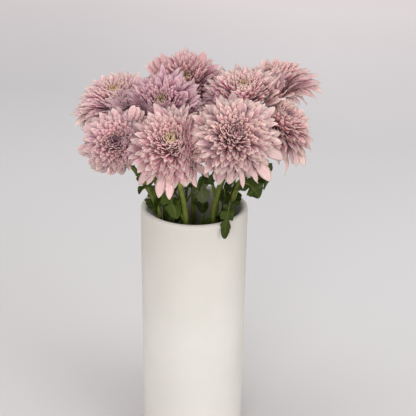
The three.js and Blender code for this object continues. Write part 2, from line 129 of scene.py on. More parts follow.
# %% Camera
CAMERA_PLACE = (0, -0.9155, 0.7023)
PITCH, YAW, ROLL = (math.radians(angle) for angle in (23.96, 0.956, 0.9))
FRAME_PIXELS = 416
LENS_PIXELS = 893  # distance from the lens to the frame, in the frame's own pixels
SENSOR_WIDTH = 36  # millimetres, the usual full frame

forward = Vector((math.sin(YAW) * math.cos(PITCH), math.cos(YAW) * math.cos(PITCH), -math.sin(PITCH)))
level = Vector((math.cos(YAW), -math.sin(YAW), 0))
upward = level.cross(forward)
right = math.cos(ROLL) * level + math.sin(ROLL) * upward
upward = math.cos(ROLL) * upward - math.sin(ROLL) * level
camera = bpy.data.objects.new("camera", bpy.data.cameras.new("camera"))
bpy.context.scene.collection.objects.link(camera)
turned = Matrix((right, upward, -forward)).transposed().to_4x4()
camera.matrix_world = Matrix.Translation(CAMERA_PLACE) @ turned
camera.data.sensor_width = SENSOR_WIDTH
camera.data.lens = SENSOR_WIDTH * LENS_PIXELS / FRAME_PIXELS
bpy.context.scene.camera = camera
print("lens", round(camera.data.lens, 1), "mm")

# %% [markdown]
# ## The jar
# A plain thrown cylinder, dried and fired without a glaze. Its outline is turned about the upright
# axis like clay on a wheel: up the outside, over a rounded lip, down the inside and across the
# floor. The lip is drawn as a half round, because light catches it all the way round the mouth.

# %% Jar outline
JAR_RADIUS, JAR_HEIGHT, JAR_WALL, JAR_FLOOR = 60, 300, 8, 10
JAR_INSIDE = JAR_RADIUS - JAR_WALL
LIP, FOOT_ROUND, FLOOR_ROUND = JAR_WALL / 2, 2.5, 5
WALL_ROWS = (60, 120, 180, 240, 285)  # heights of the rows of points on the straight wall
TURN_STEPS, ROUND_STEPS, LIP_STEPS = 160, 6, 15


def arc(centre, radius, start, end, steps):
    angles = np.radians(np.linspace(start, end, steps))
    return [(centre[0] + radius * math.cos(a), centre[1] + radius * math.sin(a)) for a in angles]


def turned_piece(name, outline, finish):
    """Turns an outline of (radius, height) about Z; it starts and ends on the axis."""
    turns = np.linspace(0, 2 * math.pi, TURN_STEPS, endpoint=False)
    points = [(0, 0, outline[0][1])]
    for radius, height in outline[1:-1]:
        points += [(radius * math.cos(t), radius * math.sin(t), height) for t in turns]
    points.append((0, 0, outline[-1][1]))
    last, faces = len(points) - 1, []
    top = last - TURN_STEPS
    for k in range(TURN_STEPS):
        beside = (k + 1) % TURN_STEPS
        faces.append((0, 1 + beside, 1 + k))
        for low in range(1, top, TURN_STEPS):
            high = low + TURN_STEPS
            faces.append((low + k, low + beside, high + beside, high + k))
        faces.append((top + k, top + beside, last))
    return mesh_piece(name, points, faces, finish)


jar_outline = [(0, 0), (JAR_RADIUS / 2, 0), (JAR_RADIUS - LIP, 0)]
jar_outline += arc((JAR_RADIUS - FOOT_ROUND, FOOT_ROUND), FOOT_ROUND, -90, 0, ROUND_STEPS)
jar_outline += [(JAR_RADIUS, z) for z in (JAR_FLOOR * 2, *WALL_ROWS)]
jar_outline += arc((JAR_RADIUS - LIP, JAR_HEIGHT - LIP), LIP, 0, 180, LIP_STEPS)
jar_outline += [(JAR_INSIDE, z) for z in (*WALL_ROWS[::-1], JAR_FLOOR + 8)]
jar_outline += arc((JAR_INSIDE - FLOOR_ROUND, JAR_FLOOR + FLOOR_ROUND), FLOOR_ROUND, 0, -90, ROUND_STEPS)
jar_outline += [(JAR_RADIUS / 2, JAR_FLOOR), (0, JAR_FLOOR)]

# %% [markdown]
# Unglazed fired clay is matt, with a roughness of about 0.7 and the usual IOR of 1.5. The body is
# a warm off-white. Fine grains of about half a millimetre, drawn at one millimetre so that they
# show, give the surface its slight tooth, and the wheel leaves very faint level rings. Towards the lip
# the colour is painted a shade darker: painted shade, where the blooms above shade the jar. Inside,
# below the lip, the wall is painted a dark olive: painted shade for the deep shadow in the jar's mouth.

# %% Jar finish
BLEND = {"data_type": "RGBA"}
DARKEN = {"data_type": "RGBA", "blend_type": "MULTIPLY"}
TIMES, TIMES_PLUS = {"operation": "MULTIPLY"}, {"operation": "MULTIPLY_ADD"}
MOUTH_SHADE_LOW, MOUTH_SHADE_HIGH = 248 * MM, 287 * MM  # the painted shade is full below the first and gone above the second


def matt_fired_clay():
    finish, add, place = blank_finish("unglazed_white_clay_thrown")
    cloud = add("TexNoise", Vector=place, Scale=14.0, Detail=3.0)
    clouds = [(0.3, "#BAB5AC"), (0.7, "#C0BBB3")]
    body = add("ValToRGB", {"stops": clouds}, Fac=cloud)
    x, y, z = add("SeparateXYZ", Vector=place).outputs
    level = add("CombineXYZ", X=x, Y=y)
    radius = add("VectorMath", {"operation": "LENGTH"}, i0=level).outputs["Value"]
    wall = dict(From_Min=(JAR_INSIDE - 0.5) * MM, From_Max=(JAR_INSIDE + 1.5) * MM)
    inside = add("MapRange", Value=radius, **wall, To_Min=1.0, To_Max=0.0)
    # painted shade: the inner wall turns dark olive below the lip, for the deep shadow in the jar's mouth
    below = add("MapRange", Value=z, From_Min=MOUTH_SHADE_LOW, From_Max=MOUTH_SHADE_HIGH, To_Min=0.93, To_Max=0.0)
    painted_mouth_shade = add("Math", TIMES, i0=inside, i1=below)
    with_mouth_shade = add("Mix", BLEND, Factor=painted_mouth_shade, A=body, B="#3C3B20")
    # painted shade: darker towards the lip, where the blooms above shade the jar
    rise = add("MapRange", Value=z, From_Min=160 * MM, From_Max=290 * MM)
    with_top_shade = add("Mix", DARKEN, Factor=rise, A=with_mouth_shade, B="#EFEEEC")
    grain = add("TexNoise", Vector=place, Scale=900.0, Detail=2.0)
    grains = [(0.35, "#BCBCBC"), (0.6, "#FFFFFF")]
    speck = add("ValToRGB", {"stops": grains}, Fac=grain)
    dusty = add("Mix", DARKEN, Factor=0.05, A=with_top_shade, B=speck)
    rings = add("Mapping", Vector=place, Scale=(1.0, 1.0, 60.0))
    wheel = add("TexNoise", Vector=rings, Scale=3.0, Detail=2.0)
    height = add("Math", TIMES_PLUS, i0=wheel, i1=0.6, i2=grain)
    bump = add("Bump", Height=height, Strength=0.12, Distance=0.0004)
    clay = add("BsdfPrincipled", Base_Color=dusty, Roughness=0.7, IOR=1.5, Normal=bump)
    add("OutputMaterial", Surface=clay)
    return finish


jar = turned_piece("matt_jar", jar_outline, matt_fired_clay())
stands_for(jar, "jar")

# %% [markdown]
# ## The plan of the bunch
# Each flower has a seat where its bloom begins, a direction that it faces, a reach, and a place
# where its stem passes the jar's mouth. These are the frame's own numbers, in millimetres and
# degrees, so what grows here grows in the same place. Two more numbers serve the finer petals alone:
# how broad they are beside the usual ones, and the side on which they are shorter, as an arrow
# whose length is the share that they lack there. Directions are turned into unit vectors.

# %% Plan of the bunch
FLOWER_KEYS = ("seat", "azimuth", "lift", "reach", "mouth", "seed", "broad", "short_side")
FLOWERS = {
    "front_left": ((-22, -62, 382), -95, 48, 50, (-9, -37), 11, 1, (0.04, -0.1, -0.29)),
    "front_right": ((38, -73, 396), -86, 43, 52, (20, -28), 23, 1, (0.21, -0.07, -0.28)),
    "middle": ((-32, -8, 404), -98, 50, 49, (-13, -6), 31, 0.85),
    "upper_left": ((-84, 22, 396), -105, 70, 49, (-34, 12), 47, 0.78),
    "lower_left": ((-80, -37, 381), -88, 30, 37, (-39, -18), 59, 0.88, (0.23, -0.08, -0.38)),
    "top_back": ((-10, 66, 404), -95, 56, 58, (-1, 30), 61, 0.78),
    "upper_right": ((52, 9, 403), -95, 76, 56, (25, 8), 73, 0.85),
    "back_right": ((91, 52, 403), -165, 72, 57, (35, 26), 83, 1.15),
    "lower_right": ((82, 0, 381), -30, 56, 45, (40, -6), 97, 0.8),
}


def unit(vectors):
    return vectors / np.linalg.norm(vectors, axis=-1, keepdims=True)


def facing(flower):
    azimuth, lift = math.radians(flower["azimuth"]), math.radians(flower["lift"])
    level_part = math.cos(lift)
    return np.array([math.cos(azimuth) * level_part, math.sin(azimuth) * level_part, math.sin(lift)])


FLOWERS = {name: dict(zip(FLOWER_KEYS, row)) for name, row in FLOWERS.items()}
for flower in FLOWERS.values():
    flower["seat"], flower["axis"] = np.array(flower["seat"], float), facing(flower)
print(len(FLOWERS), "flowers planned")

# %% [markdown]
# ## How stems run
# A cut stem leans in the jar from its foot on the floor to the mouth, and above the mouth it arches
# over under its heavy bloom. A straight run and one cubic curve give that line. Points are laid
# closely, so that the finished stem bends smoothly, and its radius falls evenly from step to step.

# %% Stem lines
FOOT_SPREAD, CURL, HANDLE = 0.55, 0.9, 0.36
FOOT_GAP = 0.6  # between the stem's foot and the jar's floor
CUP_DEPTH, INTO_CUP = 13, 3
STEM_FOOT_RADIUS, STEM_NECK_RADIUS = 3.4, 2.65
ROWS_IN_JAR, ROWS_ABOVE = 14, 30
STATIONS, JAR_STATIONS = 8, ((0, 0.7, 1), (0, 1, 2))  # the frame's steps up a stem, and those in the jar


def stem_line(flower):
    """Points down the middle of a stem and the stem's radius at each."""
    mouth = np.array(flower["mouth"], float)
    foot = np.array([*(mouth * FOOT_SPREAD), JAR_FLOOR + FOOT_GAP])
    rim = np.array([*mouth, JAR_HEIGHT])
    top = flower["seat"] + flower["axis"] * (INTO_CUP - CUP_DEPTH)
    lean = top - rim
    arch = np.linalg.norm(lean) * HANDLE
    rise = unit(unit(rim - foot) + unit(lean) * CURL)
    corners = [rim, rim + rise * arch, top - flower["axis"] * arch, top]
    straight = np.linspace(0, 1, ROWS_IN_JAR)[:-1]
    t = np.linspace(0, 1, ROWS_ABOVE)
    weights = ((1 - t) ** 3, 3 * t * (1 - t) ** 2, 3 * t * t * (1 - t), t**3)
    curve = sum(corner * weight[:, None] for corner, weight in zip(corners, weights))
    points = np.vstack([foot + (rim - foot) * straight[:, None], curve])
    station = np.concatenate([np.interp(straight, *JAR_STATIONS), 2 + (STATIONS - 2) * t])
    return points, STEM_FOOT_RADIUS + (STEM_NECK_RADIUS - STEM_FOOT_RADIUS) * station / STATIONS


for flower in FLOWERS.values():
    flower["line"], flower["radii"] = stem_line(flower)
lengths = [np.linalg.norm(np.diff(f["line"], axis=0), axis=1).sum() for f in FLOWERS.values()]
print("longest stem", round(max(lengths)), "mm")

# %% [markdown]
# ## Skins over rings
# Stems, leaf stalks and leaf blades are all skins over a row of rings: a ring of points at each step
# along a line, joined to the next ring by four-sided faces and closed at both ends. Several skins of
# one stem are gathered in a bundle and made into one mesh, each with its own finish. The marks are
# numbers kept on the points, from which the finishes know a cup, a vein or a lower face.

# %% Skins
def carried_sides(line, start):
    """Two side directions at each point of a line, which turn with it but never spin round it."""
    tangents = unit(np.gradient(line, axis=0))
    sides, side = [], np.array(start, float)
    for tangent in tangents:
        side = unit(side - tangent * (side @ tangent))
        sides.append(side)
    return np.array(sides), np.cross(tangents, sides)


def skin_faces(rows, around):
    faces = [tuple(range(around))[::-1], tuple(range((rows - 1) * around, rows * around))]
    for row in range(rows - 1):
        for k in range(around):
            a, b = row * around + k, row * around + (k + 1) % around
            faces.append((a, b, b + around, a + around))
    return faces


MARKS = ("cup", "vein", "under", "tone")
STEM_FINISH, LEAF_FINISH = 0, 1


class Bundle:
    """Skins that are made into one mesh."""

    def __init__(self):
        self.points, self.faces, self.slots, self.marks, self.count = [], [], [], {}, 0

    def add(self, points, faces, slot, **marks):
        points = np.asarray(points, float).reshape(-1, 3)
        self.faces += [tuple(v + self.count for v in face) for face in faces]
        self.slots += [slot] * len(faces)
        for key in MARKS:
            values = np.broadcast_to(marks.get(key, 0.0), (len(points),))
            self.marks.setdefault(key, []).append(values)
        self.points.append(points)
        self.count += len(points)

    def made(self, name, finishes):
        marks = {key: np.concatenate(values) for key, values in self.marks.items()}
        piece = mesh_piece(name, np.vstack(self.points), self.faces, finishes[0], marks)
        for finish in finishes[1:]:
            piece.data.materials.append(finish)
        piece.data.polygons.foreach_set("material_index", self.slots)
        return piece


RIBS = 6


def add_bar(bundle, line, radii, sides, ridges=0.0):
    """A round bar of changing radius; ridges is how deep its lengthwise ribs are."""
    across, up = carried_sides(line, (1, 0.1, 0))
    turns = np.linspace(0, 2 * math.pi, sides, endpoint=False)
    ribbed = radii[:, None] * (1 + ridges * np.cos(turns * RIBS))
    points = (
        line[:, None]
        + across[:, None] * (ribbed * np.cos(turns))[..., None]
        + up[:, None] * (ribbed * np.sin(turns))[..., None]
    )
    bundle.add(points, skin_faces(len(line), sides), STEM_FINISH)


# %% [markdown]
# ## Leaves
# A chrysanthemum leaf is cut into blunt lobes with small teeth, and its side veins run out to the
# lobes. The leaves of each stem are listed: the height on the stem where one starts, a place that it
# passes over, its tip, half its width, the degrees by which it is turned about its midrib, how much
# of it is bare stalk, and its tone. The tone runs from -1, old and dark, to 1, light, and a withered
# leaf has 2; one without a tone gets a dark one by chance. A tone near 1, given to a few leaves, is
# painted light for leaves that catch the lamps.

# %% Leaf plan
LEAF_KEYS = ("start", "over", "tip", "half", "turn", "bare", "tone")
LEAVES = {
    "front_left": [
        (292, (-24, -30, 319), (-18, -38, 299), 14, 60, 0.25, 1),
    ],
    "front_right": [
        (318, (14, -22, 341), (4, -28, 327), 11, 50, 0.25),
        (326, (19, -28, 343), (24, -36, 358), 6, 50, 0.25),
        (262, (9, -36, 294), (2, -45, 278), 12, 60, 0.25),
    ],
    "middle": [
        (296, (3, -12, 325), (10, -20, 310), 13, 50, 0.25, 2),
        (300, (-26, -10, 322), (-29, -20, 305), 12, 60, 0.25),
    ],
    "upper_left": [
        (292, (-38, -6, 312), (-46, -2, 294), 17, 40, 0.25),
        (262, (-24, 6, 294), (-20, 2, 276), 11, 60, 0.25),
        (322, (-56, 34, 346), (-72, 48, 324), 13, 0, 0.3),
    ],
    "lower_left": [
        (306, (-48, -26, 332), (-60, -28, 324), 14, 30, 0.3),
        (334, (-57, -34, 342), (-61, -37, 355), 4.5, 60, 0.25),
        (288, (-40, -20, 310), (-42, -22, 297), 15, 60, 0.25),
        (262, (-30, -30, 290), (-22, -42, 276), 12, 70, 0.25),
    ],
    "top_back": [
        (284, (6, 8, 309), (10, 2, 288), 12, 60, 0.25),
        (296, (-6, 16, 318), (-10, 6, 298), 13, 60, 0.25),
        (318, (6, 54, 344), (14, 80, 326), 14, 0, 0.3),
        (338, (-20, 54, 360), (-38, 70, 342), 13, 0, 0.3),
    ],
    "upper_right": [
        (262, (30, -8, 294), (30, -14, 276), 11, 60, 0.25),
        (290, (32, 2, 318), (34, -5, 301), 12, 50, 0.25),
    ],
    "back_right": [
        (292, (44, 14, 314), (47, 4, 297), 12, 50, 0.25, 1),
        (318, (62, 40, 340), (84, 56, 322), 14, 0, 0.3),
    ],
    "lower_right": [
        (312, (56, -16, 332), (70, -26, 319), 16, 20, 0.2),
        (326, (68, -2, 331), (79, 4, 339), 10, 30, 0.25),
        (340, (80, 2, 348), (77, 2, 317), 6, 60, 0.25, 0.8),
        (297, (37, -45, 317), (32, -58, 285), 9, 10, 0.35),
        (286, (43, -14, 307), (38, -24, 301), 10, 50, 0.25, 1),
    ],
}
LEAVES = {name: [dict(zip(LEAF_KEYS, row)) for row in group] for name, group in LEAVES.items()}
print(sum(len(group) for group in LEAVES.values()), "leaves planned")

# %% [markdown]
# Half of a leaf's outline is listed once, as a blade pressed flat shows it. Corners are eased a
# little, because a real lobe is blunt. The midrib is one curve from the stem over the given place to
# the tip.

# %% Leaf outline and midrib
# place on the midrib, place along the leaf, width as a share of the half width
LEAF_OUTLINE = np.array([
    (0.00, 0.00, 0.05), (0.05, 0.02, 0.18), (0.10, 0.06, 0.48), (0.15, 0.11, 0.66), (0.18, 0.17, 0.78),
    (0.21, 0.22, 0.76), (0.25, 0.27, 0.76), (0.28, 0.30, 0.48), (0.31, 0.32, 0.20), (0.35, 0.35, 0.34),
    (0.39, 0.40, 0.88), (0.42, 0.44, 1.00), (0.45, 0.49, 0.84), (0.47, 0.54, 1.00), (0.50, 0.58, 0.80),
    (0.53, 0.63, 0.84), (0.56, 0.63, 0.54), (0.60, 0.63, 0.22), (0.64, 0.66, 0.36), (0.69, 0.74, 0.72),
    (0.73, 0.79, 0.80), (0.76, 0.82, 0.60), (0.80, 0.87, 0.66), (0.84, 0.89, 0.52), (0.88, 0.92, 0.46),
    (0.93, 0.96, 0.34), (0.97, 0.99, 0.20), (1.00, 1.00, 0.03),
])


def finer(table, times):
    """A table of rows made finer with points between, eased so that corners turn blunt."""
    place = np.arange(len(table))
    fine = np.linspace(0, len(table) - 1, (len(table) - 1) * times + 1)
    eased = np.column_stack([np.interp(fine, place, column) for column in table.T])
    soft = eased.copy()
    soft[1:-1] = 0.5 * eased[1:-1] + 0.25 * (eased[:-2] + eased[2:])
    return soft


def swung(start, handle, end, t):
    """Points on the curve that starts towards a handle and comes to its end from there."""
    return (1 - t) ** 2 * start + 2 * t * (1 - t) * handle + t * t * end


def midrib(flower, leaf):
    """A leaf's midrib and its slope, as functions of the place on it, and the level way across it."""
    line = flower["line"]
    start = np.array([np.interp(leaf["start"], line[:, 2], line[:, k]) for k in range(3)])
    over, tip = np.array(leaf["over"], float), np.array(leaf["tip"], float)
    handle = 2 * over - 0.5 * (start + tip)
    rib = lambda t: swung(start, handle, tip, t)
    slope = lambda t: unit((1 - t) * (handle - start) + t * (tip - handle))
    return rib, slope, unit(np.array([over[1] - tip[1], tip[0] - over[0], 0]))


FINE_OUTLINE = finer(LEAF_OUTLINE, 2)
print(len(FINE_OUTLINE), "rows of points along a leaf")

# %% [markdown]
# Rows of points run from the midrib out to the edge on both sides. They rise towards the edge, wave
# along it, are sunk along the veins and stand up between them. A second set of points just below
# makes the lower face, and the blade thins out to its edge. The stalk and the midrib are thin bars.

# %% Leaf blade
LEAF_THICKNESS, EDGE_THINNING = 0.6, 0.55
TROUGH, WAVE, FRILL = 0.16, 0.08, 0.05  # heights as shares of the half width
VEIN_DEPTH, MIDRIB_WIDTH = 0.45, 0.9
LOBE_VEINS = np.array([0.19, 0.46, 0.76])  # places on the midrib where side veins leave it
LOBE_VEIN_WIDTH = 0.022  # as a share of the leaf's length
ACROSS = np.array([-1, -0.85, -0.6, -0.3, 0, 0.3, 0.6, 0.85, 1])
OUT = np.abs(ACROSS)
WAVES, FRILLS = 17, 26  # radians of each along the whole blade
OLDEST_TONE, FRESHEST_TONE = -1, 0.2
STALK_ROWS, STALK_SIDES, STALK_RADII = 9, 8, (1.6, 1.2, 0.8)
RIB_ROWS, RIB_SIDES, RIB_RADII = 14, 6, (0.85, 0.3)


def across_row(u, width, half):
    """How strong a vein is at each point across a row, and how high the point stands."""
    side_vein = np.exp(-(((u - LOBE_VEINS[:, None]) / LOBE_VEIN_WIDTH) ** 2)).sum(0)
    vein = np.maximum(np.exp(-((ACROSS * width * half / MIDRIB_WIDTH) ** 2)), side_vein * (OUT < 0.95))
    wave = np.sin(u * WAVES + 1.7) * WAVE * half
    raised = TROUGH * width * half * OUT**1.4 + ACROSS * wave * OUT
    raised += FRILL * half * np.sin(u * FRILLS + 3 * OUT) * OUT * width - VEIN_DEPTH * vein
    return vein, raised


def add_leaf(bundle, flower, leaf, random):
    rib, slope, sideways = midrib(flower, leaf)
    bare, half, turn = leaf["bare"], leaf["half"], math.radians(leaf["turn"])
    place = lambda u: bare + (1 - bare) * u
    whole = np.array([rib(t) for t in np.linspace(0, 1, 60)])
    blade_length = np.linalg.norm(np.diff(whole, axis=0), axis=1).sum() * (1 - bare)
    points, veins = [], []
    for u, ahead, width in FINE_OUTLINE:
        middle, tangent = rib(place(u)), slope(place(u))
        across = unit(sideways - tangent * (sideways @ tangent))
        across = across * math.cos(turn) + np.cross(tangent, across) * math.sin(turn)
        up = np.cross(tangent, across)
        vein, raised = across_row(u, width, half)
        row = middle + np.outer(ACROSS * width * half, across)
        row += np.outer(OUT * (ahead - u) * blade_length, tangent)
        upper = row + np.outer(raised, up)
        lower = upper - up * (LEAF_THICKNESS * (1 - EDGE_THINNING * OUT)[:, None])
        points.append(np.vstack([upper, lower[::-1]]))
        veins.append(np.concatenate([vein, vein[::-1]]))
    under = np.tile(np.repeat([0.0, 1.0], len(ACROSS)), len(points))
    chance_tone = random.uniform(OLDEST_TONE, FRESHEST_TONE)
    tone = leaf.get("tone", chance_tone)
    faces = [face[::-1] for face in skin_faces(len(points), 2 * len(ACROSS))]
    bundle.add(np.array(points), faces, LEAF_FINISH, vein=np.concatenate(veins), under=under, tone=tone)
    stalk = np.array([rib(t) for t in np.linspace(0, place(0.1), STALK_ROWS)])
    stalk_radii = np.interp(np.linspace(0, 1, STALK_ROWS), [0, 0.5, 1], STALK_RADII)
    add_bar(bundle, stalk, stalk_radii, STALK_SIDES)
    rib_line = np.array([rib(place(u)) for u in np.linspace(0.02, 0.9, RIB_ROWS)])
    add_bar(bundle, rib_line, np.linspace(*RIB_RADII, RIB_ROWS), RIB_SIDES)


# %% [markdown]
# ## The green cup
# Under every bloom sits a shallow green cup of two rows of narrow pointed bracts. A smooth turned
# cup is laid first, and the bracts are thin blades that hug it from below and end at its rim.

# %% Green cup
CUP_PROFILE = [  # height over the seat, radius
    (-CUP_DEPTH, 2.4), (-11.5, 3.0), (-9.5, 4.8), (-7.5, 6.9), (-5, 8.9), (-2.6, 10.2), (-0.8, 10.3),
    (-0.1, 9.6),
]
CUP_SIDES, BRACTS = 28, 15
BRACT_ROWS = ((-12.0, -3.6, 0.75), (-10.0, -0.4, 0.4))  # from which height to which, how far off the cup
BRACT_WIDTHS = 1.7 * np.array([0.7, 0.95, 1.0, 0.8, 0.45, 0.06])  # half widths from foot to tip
BRACT_ACROSS, BRACT_OUT = np.array([-1, 0, 1, 0]), np.array([-0.25, 0.3, -0.25, -0.45])


def side_frame(axis):
    """Two directions square to an axis, the first as near to X as can be."""
    first = unit(np.array([1.0, 0, 0]) - axis * axis[0])
    return first, np.cross(axis, first)


def ring_of_spokes(first, second, count):
    turns = np.linspace(0, 2 * math.pi, count, endpoint=False)
    return first * np.cos(turns)[:, None] + second * np.sin(turns)[:, None]


def add_cup(bundle, flower):
    seat, axis = flower["seat"], flower["axis"]
    first, second = side_frame(axis)
    spokes = ring_of_spokes(first, second, CUP_SIDES)
    rings = np.array([seat + axis * height + spokes * radius for height, radius in CUP_PROFILE])
    bundle.add(rings, skin_faces(len(CUP_PROFILE), CUP_SIDES), STEM_FINISH, cup=1.0)
    heights, radii = np.array(CUP_PROFILE).T
    bract_faces = [face[::-1] for face in skin_faces(len(BRACT_WIDTHS), len(BRACT_ACROSS))]
    for row, (low, high, off) in enumerate(BRACT_ROWS):
        for k in range(BRACTS):
            turn = (k + 0.5 * row) / BRACTS * 2 * math.pi
            spoke = first * math.cos(turn) + second * math.sin(turn)
            side = np.cross(axis, spoke)
            up = np.linspace(low, high, len(BRACT_WIDTHS))
            middle = seat + np.outer(up, axis) + np.outer(np.interp(up, heights, radii) + off, spoke)
            across = side * (BRACT_WIDTHS[:, None] * BRACT_ACROSS)[..., None]
            points = middle[:, None] + across + spoke * BRACT_OUT[:, None]
            bundle.add(points, bract_faces, STEM_FINISH, cup=0.6)


# %% [markdown]
# ## Finishes of stem and leaf
# Living plant skin is waxy: its IOR is about 1.45 and its roughness about 0.5. The stem is a dull
# yellow-green with fine lengthwise fibres. The leaf's upper face is a deep green with lighter veins,
# its lower face is a plainer green, and some light passes through it. The real fibres are a fifth of
# a millimetre apart; they are drawn at about half a millimetre so that they show. The leaf's skin
# puckers between its finest veins, in cells of about two millimetres.

# %% Stem and leaf finishes
PLANT_WAX = dict(Roughness=0.55, IOR=1.45, Specular_IOR_Level=0.18)


def waxy_stem_skin():
    finish, add, place = blank_finish("waxy_green_stem_skin")
    blotch = add("TexNoise", Vector=place, Scale=45.0, Detail=3.0)
    greens = [(0.3, "#424A1A"), (0.55, "#5A6026"), (0.75, "#80843E")]
    base = add("ValToRGB", {"stops": greens}, Fac=blotch)
    cup_share = add("Attribute", {"attribute_name": "cup"}).outputs["Fac"]
    cup = add("Mix", BLEND, Factor=cup_share, A=base, B="#5A6A28")
    drawn = add("Mapping", Vector=place, Scale=(1.0, 1.0, 0.06))
    fibre = add("TexNoise", Vector=drawn, Scale=1900.0, Detail=1.0)
    fibres = [(0.3, "#B2BBA0"), (0.65, "#FFFFFF")]
    streak = add("ValToRGB", {"stops": fibres}, Fac=fibre)
    streaked = add("Mix", DARKEN, Factor=0.6, A=cup, B=streak)
    bump = add("Bump", Height=fibre, Strength=0.3, Distance=0.0003)
    skin = add("BsdfPrincipled", Base_Color=streaked, Normal=bump, **PLANT_WAX)
    add("OutputMaterial", Surface=skin)
    return finish


def veined_leaf_skin():
    finish, add, place = blank_finish("veined_green_leaf_skin")
    marks = {
        key: add("Attribute", {"attribute_name": key}).outputs["Fac"]
        for key in ("tone", "under", "vein")
    }
    blotch = add("TexNoise", Vector=place, Scale=120.0, Detail=4.0)
    greens = [(0.32, "#0C1202"), (0.5, "#182204"), (0.72, "#38460E")]
    veined = add("ValToRGB", {"stops": greens}, Fac=blotch)
    # a tone near 1, given to single leaves in the table, is painted light; a lower tone is the leaf's age
    fresh_and_lit = add("MapRange", Value=marks["tone"], From_Min=-1.0, To_Max=0.8)
    withered = add("MapRange", Value=marks["tone"], From_Min=1.0, From_Max=2.0, To_Max=0.5)
    faint = add("Math", TIMES, i0=marks["vein"], i1=0.3)
    layers = (fresh_and_lit, "#3E4C12"), (marks["under"], "#2E3A10"), (withered, "#5C5C46"), (faint, "#4E5A1E")
    for share, colour in layers:
        veined = add("Mix", BLEND, Factor=share, A=veined, B=colour)
    cells = add("TexVoronoi", {"feature": "DISTANCE_TO_EDGE"}, Vector=place, Scale=520.0)
    bump = add("Bump", Height=cells, Strength=0.35, Distance=0.0006)
    skin = add("BsdfPrincipled", Base_Color=veined, Normal=bump, **PLANT_WAX)
    glow = add("BsdfTranslucent", Color=veined, Normal=bump)
    both = add("MixShader", Fac=0.18, i1=skin, i2=glow)
    add("OutputMaterial", Surface=both)
    return finish


plant_finishes = [waxy_stem_skin(), veined_leaf_skin()]

# %% [markdown]
# ## The stems
# Each stem is one grown thing: the ribbed bar, slightly swollen where a leaf stalk leaves it, its
# leaves and the green cup. They become one mesh that stands for the frame's stem of that name.

# %% Stems
SLIMMER = 0.84  # these ribbed stems are a little slimmer than the frame's round bars
SWELLING, SWELLING_REACH = 0.16, 3.5
STEM_SIDES, RIB_DEPTH = 24, 0.06
for name, flower in FLOWERS.items():
    bundle = Bundle()
    random = np.random.default_rng(flower["seed"])
    swell = np.zeros(len(flower["line"]))
    for leaf in LEAVES[name]:
        swell += SWELLING * np.exp(-(((flower["line"][:, 2] - leaf["start"]) / SWELLING_REACH) ** 2))
    add_bar(bundle, flower["line"], flower["radii"] * SLIMMER * (1 + swell), STEM_SIDES, RIB_DEPTH)
    add_cup(bundle, flower)
    for leaf in LEAVES[name]:
        add_leaf(bundle, flower, leaf, random)
    stem = bundle.made(f"leafy_stem_{name}", plant_finishes)
    stands_for(stem, f"stem_{name}")

# %% [markdown]
# ## The room that a bloom has
# Blooms in a tight bunch press on each other, and their petals fold up where they meet. Between two
# hearts stands a wall that leans a little, so that the front bloom overlaps the one behind it.
# Points that come near a wall are held back softly, ever more as they come nearer. The frame's
# blooms follow the same rule, so these finer ones fill the same room.

# %% Walls between blooms
HEART = 12  # height of a bloom's heart over its seat
LEAN, LEAN_WITHIN = 0.6, 25  # how much a wall leans at most, and how far behind that is reached
SPARE, SOFT = 1.9, 9  # room left free at a wall, and from how far off petals are held back
BACKWARD = np.array([0, 0.91, -0.41])


def walls_of(name):
    """The middle and the outward direction of each wall round a bloom."""
    hearts = {key: f["seat"] + f["axis"] * HEART for key, f in FLOWERS.items()}
    walls = []
    for other in FLOWERS:
        if other == name:
            continue
        apart = hearts[other] - hearts[name]
        behind = np.clip(apart @ BACKWARD / LEAN_WITHIN, -1, 1)
        normal = unit(unit(apart) + BACKWARD * behind * LEAN)
        walls.append(((hearts[other] + hearts[name]) / 2, normal))
    return walls


def held_back(points, walls):
    """Points kept from passing the walls; three rounds settle the corners between them."""
    held = np.array(points)
    for middle, normal in walls * 3:
        past = (held - middle) @ normal + SPARE
        kept = np.where(past > -SOFT, -SOFT * np.exp(-(past + SOFT) / SOFT), past)
        held += (kept - past)[..., None] * normal
    return held


# %% [markdown]
# A petal leaves the core at an angle to the bloom's axis and bends outwards as it goes, and its own
# weight lets it sag. How far a bloom can open each way is found by trial: outer petals are laid all
# round it, and those that push past a wall or come near another flower's stem are folded up by two
# degrees at a time.

# %% How far a bloom opens
CORE_CENTRE, PETAL_ROOT = 6.3, 12.5  # height of the core's centre, and how far from it petals start
PRESSED = 5.5  # how far a petal may push past a wall
STEM_ROOM, STEMS_WITHIN = 5.1, 75  # how near it may come to a stem, and how far off stems are looked for
OUTER_ANGLE, OUTER_BEND, OUTER_LENGTH, OUTER_SAG = 98, 12, 0.80, 0.3
OUTER_PLACES = (0, 0.46, 0.84, 1)
BEND_GAIN = 1.6  # a petal bends by this many times its table's degrees from root to tip
WAYS, FOLDINGS, FOLDED_BY, LEAST_FOLD = 36, 40, 2, 0.36


def petal_lines(flower, radial, angle, bend, length, sag, places, root=None):
    """Middle lines of many petals at once, as an array of petal by place by x, y, z."""
    axis = flower["axis"]
    direction = lambda a: np.cos(a)[:, None] * axis + np.sin(a)[:, None] * radial
    rooted, radius = (angle, PETAL_ROOT) if root is None else root
    start = direction(np.radians(rooted)) * np.reshape(radius, (-1, 1))
    points = [flower["seat"] + axis * CORE_CENTRE + start]
    for before, after in zip(places[:-1], places[1:]):
        middle = (before + after) / 2
        step = direction(np.radians(angle + bend * middle * BEND_GAIN))
        step[:, 2] -= sag * middle
        points.append(points[-1] + unit(step) * (length * (after - before))[:, None])
    return np.stack(points, axis=1)


def in_the_way(lines, flower):
    """Which petals push too far past a wall, or come too near another flower's stem."""
    free = lines[:, 1:]
    beyond = [((free - middle) @ normal + SPARE > PRESSED).any(1) for middle, normal in flower["walls"]]
    near = np.linalg.norm(free[:, :, None] - flower["near_stems"], axis=-1).min(axis=(1, 2)) < STEM_ROOM
    return np.any(beyond, axis=0) | near


